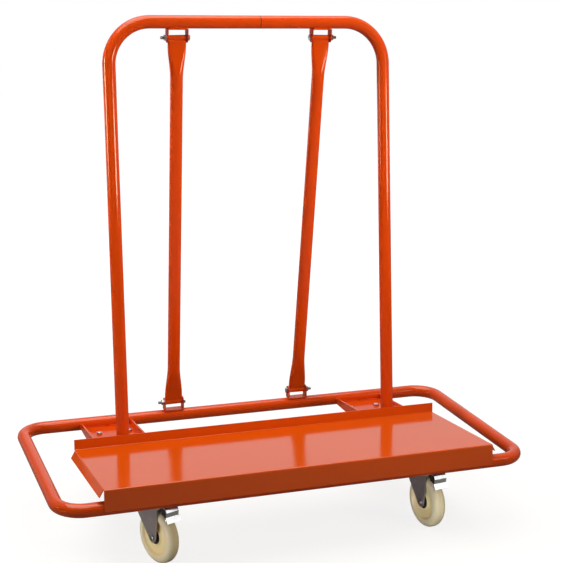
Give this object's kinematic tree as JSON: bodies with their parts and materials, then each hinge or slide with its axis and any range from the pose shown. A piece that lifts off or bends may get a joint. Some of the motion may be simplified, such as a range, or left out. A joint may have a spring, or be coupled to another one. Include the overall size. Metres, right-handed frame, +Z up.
{
  "type": "drywall cart",
  "caption": "Sheet cart: round-tube base loop on swivel casters, tilted orange deck with rear lip, leaning tube hoop with bolted rear braces",
  "frame": {"origin": "on the floor, under the middle of the base loop", "axes": "+X to the right as seen from the deck side, +Y from the deck toward the braces at the rear, +Z up"},
  "size_m": [1.15, 0.5523, 1.191],
  "materials": {
    "orange_coat": "glossy orange-red powder coat on steel tube and sheet",
    "zinc_fastener": "zinc-plated bolts and nuts, bright with a faint blue cast",
    "zinc_plate": "zinc-plated pressed steel, satin grey",
    "plain_steel": "plain ground steel, lightly oiled",
    "bright_chrome": "bright nickel-chrome plating on pressed steel",
    "ivory_nylon": "cream cast nylon, semi-gloss",
    "bearing_steel": "dark shielded bearing rings",
    "black_rubber": "matt black brake rubber"
  },
  "bodies": {
    "frame": {"base_loop": "orange_coat", "left_cross_channel": "orange_coat", "right_cross_channel": "orange_coat", "deck_tray": "orange_coat", "left_deck_support": "orange_coat", "right_deck_support": "orange_coat", "left_upright": "orange_coat", "right_upright": "orange_coat", "hoop_joint_sleeve": "plain_steel", "foot_bolts": "zinc_fastener", "foot_nuts": "zinc_fastener", "left_top_clevis": "orange_coat", "right_top_clevis": "orange_coat", "left_foot_clevis": "orange_coat", "right_foot_clevis": "orange_coat", "left_brace": "orange_coat", "right_brace": "orange_coat", "clevis_bolts": "zinc_fastener", "clevis_nuts": "zinc_fastener", "caster_bolts": "zinc_fastener", "caster_nuts": "zinc_fastener", "front_left_top_plate": "zinc_plate", "front_left_king_pin": "plain_steel", "front_right_top_plate": "zinc_plate", "front_right_king_pin": "plain_steel", "rear_left_top_plate": "zinc_plate", "rear_left_king_pin": "plain_steel", "rear_right_top_plate": "zinc_plate", "rear_right_king_pin": "plain_steel"},
    "front_left_swivel": {"front_left_swivel_balls": "plain_steel", "front_left_fork": "zinc_plate", "front_left_axle": "zinc_fastener", "front_left_axle_nut": "zinc_fastener", "front_left_pedal_pin": "plain_steel"},
    "front_left_wheel_set": {"front_left_wheel": "ivory_nylon", "front_left_wheel_bearings": "bearing_steel"},
    "front_left_pedal": {"front_left_brake_pedal": "bright_chrome", "front_left_brake_pad": "black_rubber"},
    "front_right_swivel": {"front_right_swivel_balls": "plain_steel", "front_right_fork": "zinc_plate", "front_right_axle": "zinc_fastener", "front_right_axle_nut": "zinc_fastener", "front_right_pedal_pin": "plain_steel"},
    "front_right_wheel_set": {"front_right_wheel": "ivory_nylon", "front_right_wheel_bearings": "bearing_steel"},
    "front_right_pedal": {"front_right_brake_pedal": "bright_chrome", "front_right_brake_pad": "black_rubber"},
    "rear_left_swivel": {"rear_left_swivel_balls": "plain_steel", "rear_left_fork": "zinc_plate", "rear_left_axle": "zinc_fastener", "rear_left_axle_nut": "zinc_fastener"},
    "rear_left_wheel_set": {"rear_left_wheel": "ivory_nylon", "rear_left_wheel_bearings": "bearing_steel"},
    "rear_right_swivel": {"rear_right_swivel_balls": "plain_steel", "rear_right_fork": "zinc_plate", "rear_right_axle": "zinc_fastener", "rear_right_axle_nut": "zinc_fastener"},
    "rear_right_wheel_set": {"rear_right_wheel": "ivory_nylon", "rear_right_wheel_bearings": "bearing_steel"}
  },
  "joints": [
    {"name": "front_left_swivel_turn", "type": "hinge", "parent": "frame", "child": "front_left_swivel", "pos_m": [-0.3375, -0.156, 0.1525], "axis": [0, 0, 1], "continuous": true},
    {"name": "front_left_wheel_spin", "type": "hinge", "parent": "front_left_swivel", "child": "front_left_wheel_set", "pos_m": [-0.3245, -0.19171, 0.0635], "axis": [0.9397, 0.342, 0], "continuous": true},
    {"name": "front_left_brake", "type": "hinge", "parent": "front_left_swivel", "child": "front_left_pedal", "pos_m": [-0.31835, -0.20862, 0.1415], "axis": [0.9397, 0.342, 0], "range_deg": [0, 12]},
    {"name": "front_right_swivel_turn", "type": "hinge", "parent": "frame", "child": "front_right_swivel", "pos_m": [0.3375, -0.156, 0.1525], "axis": [0, 0, 1], "continuous": true},
    {"name": "front_right_wheel_spin", "type": "hinge", "parent": "front_right_swivel", "child": "front_right_wheel_set", "pos_m": [0.34213, -0.19372, 0.0635], "axis": [0.9925, 0.1219, 0], "continuous": true},
    {"name": "front_right_brake", "type": "hinge", "parent": "front_right_swivel", "child": "front_right_pedal", "pos_m": [0.34432, -0.21158, 0.1415], "axis": [0.9925, 0.1219, 0], "range_deg": [0, 12]},
    {"name": "rear_left_swivel_turn", "type": "hinge", "parent": "frame", "child": "rear_left_swivel", "pos_m": [-0.3375, 0.156, 0.1525], "axis": [0, 0, 1], "continuous": true},
    {"name": "rear_left_wheel_spin", "type": "hinge", "parent": "rear_left_swivel", "child": "rear_left_wheel_set", "pos_m": [-0.3296, 0.19317, 0.0635], "axis": [-0.9781, 0.2079, 0], "continuous": true},
    {"name": "rear_right_swivel_turn", "type": "hinge", "parent": "frame", "child": "rear_right_swivel", "pos_m": [0.3375, 0.156, 0.1525], "axis": [0, 0, 1], "continuous": true},
    {"name": "rear_right_wheel_spin", "type": "hinge", "parent": "rear_right_swivel", "child": "rear_right_wheel_set", "pos_m": [0.3309, 0.19342, 0.0635], "axis": [-0.9848, -0.1736, 0], "continuous": true}
  ]
}
